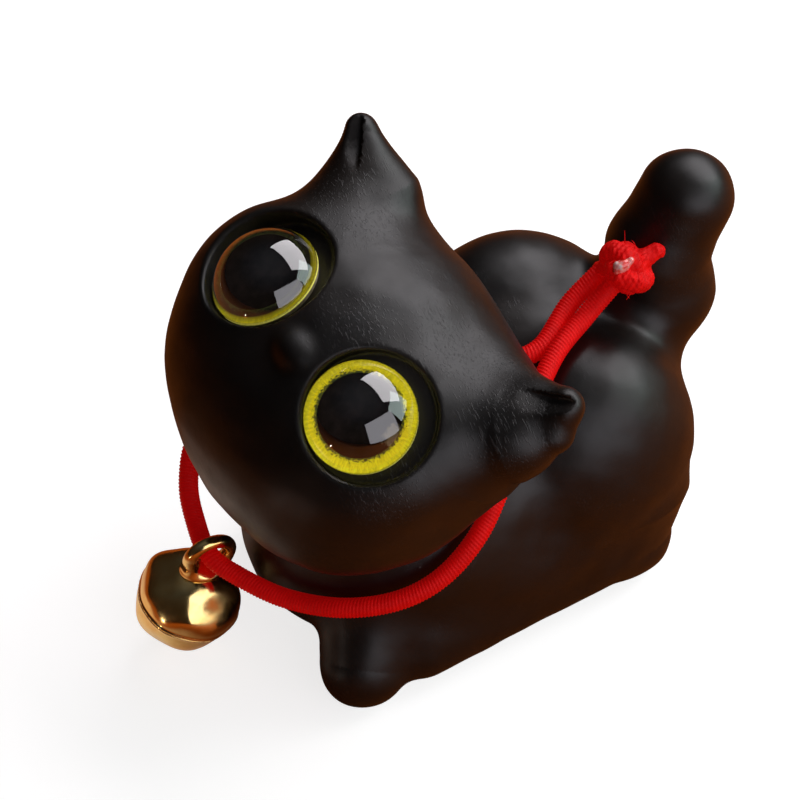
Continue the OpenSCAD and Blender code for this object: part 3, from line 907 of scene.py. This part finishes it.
def make_eye(side, name, materials):
    frame_of_eye = eye_frame(side)
    glass = lathe(dome_outline(), EYE_TURNS, *frame_of_eye)
    pupil = lathe(pupil_outline(), EYE_TURNS, *frame_of_eye)
    iris = ring(iris_outline(), EYE_TURNS, *frame_of_eye)
    for part, shape, (points, faces, uvs), material, slot in (
            ("glass", "dome", glass, materials["eye_glass"], "eye_glass"),
            ("pupil", "print", pupil, materials[f"pupil_{side}"], "pupil_black"),
            ("iris", "print", iris, materials[f"iris_{side}"], "iris_foil")):
        piece = make_piece(
            f"{name}_{part}_{shape}", points, faces, material, "root", [f"{name}_{part}"], slot, uvs=uvs)
        if shape == "print":
            sharpen(piece)
    coat(f"{name}_glue", materials["glue"])


def sharpen(piece):
    """Flat shading, for a thin print whose edges are crisp."""
    piece.data.polygons.foreach_set("use_smooth", [False] * len(piece.data.polygons))


def frames_along(line):
    """Two sideways directions at each point of a line, which don't spin about it."""
    along = np.gradient(line, axis=0)
    along /= np.linalg.norm(along, axis=1, keepdims=True)
    side = np.empty_like(line)
    s = unit(np.cross(along[0], [0, 0, 1]))
    for i, a in enumerate(along):
        s = unit(s - (s @ a) * a)
        side[i] = s
    return side, np.cross(along, side)


def ribbed_tube(line, run, radius, sides):
    """A round cord with fine slanted ribs. UV runs round it and along it in millimetres."""
    side, up = frames_along(line)
    turn = np.linspace(0, 2 * np.pi, sides, endpoint=False)
    wave = np.cos(2 * np.pi * run[:, None] / RIB_PITCH + RIB_STARTS * turn[None])
    r = radius * (1 - RIB_DEPTH + RIB_DEPTH * np.sign(wave) * np.abs(wave) ** 0.6)
    points = line[:, None] + r[..., None] * (
        np.cos(turn)[None, :, None] * side[:, None] + np.sin(turn)[None, :, None] * up[:, None])
    points = points.reshape(-1, 3)
    rings = len(line)
    i, n = np.meshgrid(np.arange(rings - 1), np.arange(sides), indexing="ij")
    m = (n + 1) % sides
    a = i * sides
    faces = np.stack([a + n, a + m, a + sides + m, a + sides + n], -1).reshape(-1, 4).tolist()
    faces.append(list(range(sides - 1, -1, -1)))
    faces.append([(rings - 1) * sides + k for k in range(sides)])
    uvs = np.stack([np.tile(turn * radius, rings), np.repeat(run, sides)], 1)
    return points, faces, uvs


def make_cord(material):
    line, run = curve(CORD_ROUTE, RIB_PITCH / 4.5)
    points, faces, uvs = ribbed_tube(line, run, CORD_R + RIB_PROUD, 26)
    make_piece("collar_cord_ribbed", points, faces, material, "root", ["collar_cord"], "red_cord", uvs=uvs)


KNOT_AT = np.array([-11, 2.7, 26.5])
KNOT_AXIS = unit([-0.85, 0.1, 0.5])
KNOT_CORD_R = 0.78
KNOT_CORE_R = 1.55
STUB = [(-0.8, 0.2, 0.3), (-2.4, 0.4, 0.9)]
FIBRES = 40
BEAD_AT = np.array([-10.0, 3.6, 27.9])


def knot_line():
    """A tight trefoil that the two strands run into, with its axis along them."""
    t = np.linspace(0, 2 * np.pi, 150, endpoint=False)
    out = 1.16 + 0.46 * np.cos(3 * t)
    local = np.stack([out * np.cos(2 * t), out * np.sin(2 * t), 0.66 * np.sin(3 * t)], 1)
    side = unit(np.cross(KNOT_AXIS, [0, 0, 1]))
    axes = np.stack([side, np.cross(KNOT_AXIS, side), KNOT_AXIS])
    return KNOT_AT + local @ axes


def make_knot(material):
    """The tied lump: the trefoil round a core, with a cut stub and both strands running in."""
    loop = knot_line()
    loop = np.vstack([loop, loop[:1]])
    run = np.concatenate([[0], np.cumsum(np.linalg.norm(np.diff(loop, axis=0), axis=1))])

    def field(p):
        best = np.full(len(p), 1e9)
        place = np.zeros(len(p))
        for a, b, s, t in zip(loop[:-1], loop[1:], run[:-1], run[1:]):
            along = b - a
            k = np.clip((p - a) @ along / (along @ along), 0, 1)
            far = ((p - a - k[:, None] * along) ** 2).sum(-1)
            nearer = far < best
            best = np.where(nearer, far, best)
            place = np.where(nearer, s + k * (t - s), place)
        d = np.sqrt(best) - KNOT_CORD_R - 0.03 * np.cos(2 * np.pi * place / RIB_PITCH)
        d = smooth_min(d, length(p - KNOT_AT) - KNOT_CORE_R, 0.4)
        d = smooth_min(d, rod(p, KNOT_AT + STUB[0], KNOT_AT + STUB[1], 0.8, 0.6), 0.35)
        for strand_end in (CORD_ROUTE[0], CORD_ROUTE[-1]):
            d = smooth_min(d, rod(p, strand_end, KNOT_AT, 0.74, 1.3), 0.4)
        return d + 0.07 * waves(p, 0.9, 11) + 0.035 * waves(p, 0.35, 12)

    points, faces, normals = skin(field, KNOT_AT - 3.6, KNOT_AT + 3.6, 0.085, 2)
    make_piece("collar_knot_tied", points, faces, material, "root", ["collar_knot"], "red_cord", normals,
               points[:, :2])


def make_fibres(material):
    """Short loose threads that stand out of the knot."""
    draw = np.random.default_rng(21)
    all_points = []
    all_faces = []
    start = 0
    for _ in range(FIBRES):
        way = unit(draw.normal(size=3) + 0.5 * TOWARD_VIEW)
        root = KNOT_AT + way * 1.7
        bend = unit(draw.normal(size=3))
        reach = draw.uniform(0.35, 0.8)
        route = [root, root + way * reach * 0.5 + bend * 0.12, root + way * reach * 0.8 + bend * 0.5]
        line, _ = curve(route, 0.12)
        side, up = frames_along(line)
        thin = 0.035 * np.linspace(1, 0.6, len(line))[:, None]
        tube = np.stack([line + thin * side, line + thin * up, line - thin * side, line - thin * up], 1)
        all_points.append(tube.reshape(-1, 3))
        for i in range(len(line) - 1):
            for n in range(4):
                m = (n + 1) % 4
                a = start + 4 * i
                all_faces.append((a + n, a + m, a + 4 + m, a + 4 + n))
        all_faces.append((start + 3, start + 2, start + 1, start))
        end = start + 4 * (len(line) - 1)
        all_faces.append((end, end + 1, end + 2, end + 3))
        start += 4 * len(line)
    points = np.vstack(all_points)
    make_piece("collar_knot_fibres", points, all_faces, material, "root", ["collar_knot"], "red_cord",
               uvs=points[:, :2])


def make_bead(material):
    """The blob where the cut ends were melted together."""
    def field(p):
        d = egg(p - BEAD_AT, (0.62, 0.5, 0.55))
        d = smooth_min(d, rod(p, BEAD_AT + (0.5, 0.1, -0.2), BEAD_AT + (-0.7, 0.1, 0.3), 0.22, 0.3), 0.25)
        return d + 0.06 * waves(p, 0.8, 5)

    points, faces, normals = skin(field, BEAD_AT - 1.3, BEAD_AT + 1.3, 0.05, 2)
    make_piece("knot_bead_melted", points, faces, material, "root", ["knot_bead"], "melted_cord", normals)


# ---- Bell, in its own frame: the middle of the shells is the origin and its loop is above ----

LOOP_AT = np.array([22.9, -1, 9.8])
BELL_TURN = turn_matrix(-12, -16, 0)
BELL_DROP = 5.6
BELL_AT = LOOP_AT + BELL_TURN @ np.array([0, 0, -BELL_DROP])
BELL_R = 4.1
BELL_WALL = 0.35
THINNEST_WALL = 0.2
BELL_HALF_H = 4.0
SLOT_W = 0.8
SLOT_REACH = 2.7
SLOT_HOLE_R = 0.65
SLOT_TOP = 1.2
LOOP_R = 1.65
LOOP_WIRE = 1.05


def bell_outside(q):
    """The bell's outer skin: two pressed cups with soft dents."""
    low = length(q - np.array([0, 0, BELL_HALF_H - BELL_R])) - BELL_R
    high = length(q - np.array([0, 0, BELL_R - BELL_HALF_H])) - BELL_R
    d = smooth_max(low, high, 0.5)
    return d + 0.2 * waves(q, 3.6, 8) + 0.02


def bell_shell(q, up):
    """One pressed cup, plain inside, with half of the seam's ridge; the lower cup has a crossed slot."""
    outside = bell_outside(q)
    inside = smooth_max(length(q) - BELL_R + BELL_WALL, np.abs(q[..., 2]) - BELL_HALF_H + BELL_WALL, 0.5)
    wall = smooth_max(outside, -np.maximum(inside, outside + THINNEST_WALL), 0.05)
    ridge = smooth_max(np.abs(outside + 0.15) - 0.20, np.abs(q[..., 2]) - 0.12, 0.12)
    d = smooth_min(wall, ridge, 0.25)
    side = -q[..., 2] if up else q[..., 2]
    d = smooth_max(d, side + 0.012, 0.05)
    if not up:
        for way in (0, 1):
            across = q[..., 1 - way]
            along = q[..., way]
            slot = smooth_max(np.abs(across) - SLOT_W / 2, np.abs(along) - SLOT_REACH, 0.05)
            for end in (-1, 1):
                hole = np.sqrt((along - end * SLOT_REACH) ** 2 + across ** 2) - SLOT_HOLE_R
                slot = np.minimum(slot, hole)
            slot = np.maximum(slot, q[..., 2] + SLOT_TOP)
            d = smooth_max(d, -slot, 0.12)
    return d


def loop_field(q):
    """The wire eye on the bell, on a small foot that ends at the upper shell."""
    p = q - np.array([0, 0, BELL_DROP])
    round_far = np.sqrt(p[..., 0] ** 2 + p[..., 2] ** 2) - LOOP_R
    low = np.clip(-p[..., 2] / LOOP_R, 0, 1)
    wire = np.sqrt(round_far ** 2 + (p[..., 1] / (1 + 0.35 * low)) ** 2) - LOOP_WIRE / 2 - 0.05 * low
    foot = egg(q - np.array([0, 0, BELL_HALF_H - 0.2]), (1.9, 1.2, 0.5))
    d = smooth_min(wire, foot, 0.7)
    return smooth_max(d, -(bell_outside(q) + 0.03), 0.05)


def upper_shell(q):
    return bell_shell(q, True)


def lower_shell(q):
    return bell_shell(q, False)


def make_bell(materials):
    for node, kind, field, lo, hi, step in (
            ("bell_top", "shell", upper_shell, (-4.7, -4.7, -0.3), (4.7, 4.7, 4.3), 0.1),
            ("bell_bottom", "shell", lower_shell, (-4.7, -4.7, -4.3), (4.7, 4.7, 0.3), 0.1),
            ("bell_loop", "cast", loop_field, (-2.6, -1.5, 3.0), (2.6, 1.5, 8.2), 0.07)):
        points, faces, normals = skin(field, lo, hi, step)
        make_piece(f"{node}_{kind}", BELL_AT + points @ BELL_TURN.T, faces, materials["bell_brass"], "bell",
                   [node], "bell_brass", normals @ BELL_TURN.T)
    coat("bell_pea", materials["steel"])


# ---- The scene ----

make_camera()
# This material glows faintly red, painted light, on the cord, the knot and its fibres.
thread = cord_material()
make_cord(thread)
materials = {
    "eye_glass": glass_material(),
    # Each iris's last number is its glow, painted light on the print.
    "iris_1": iris_material("iris_foil", 0.59, 0.52),
    "iris_-1": iris_material("iris_foil_narrow", 0.78, 0.16),
    "pupil_1": pupil_material("pupil_black_chipped", True),
    "pupil_-1": pupil_material("pupil_black", False),
    "glue": glue_material(),
    "bell_brass": brass_material(),
    "steel": steel_material()}
make_carving(ebony_material())
make_eye(1, "eye_left", materials)
make_eye(-1, "eye_right", materials)
make_knot(thread)
make_fibres(thread)
make_bead(melted_material())
make_bell(materials)
make_world()
make_floor()
for window in WINDOWS:
    make_window(*window)
make_sparkle()
bpy.context.scene.view_settings.view_transform = "Standard"
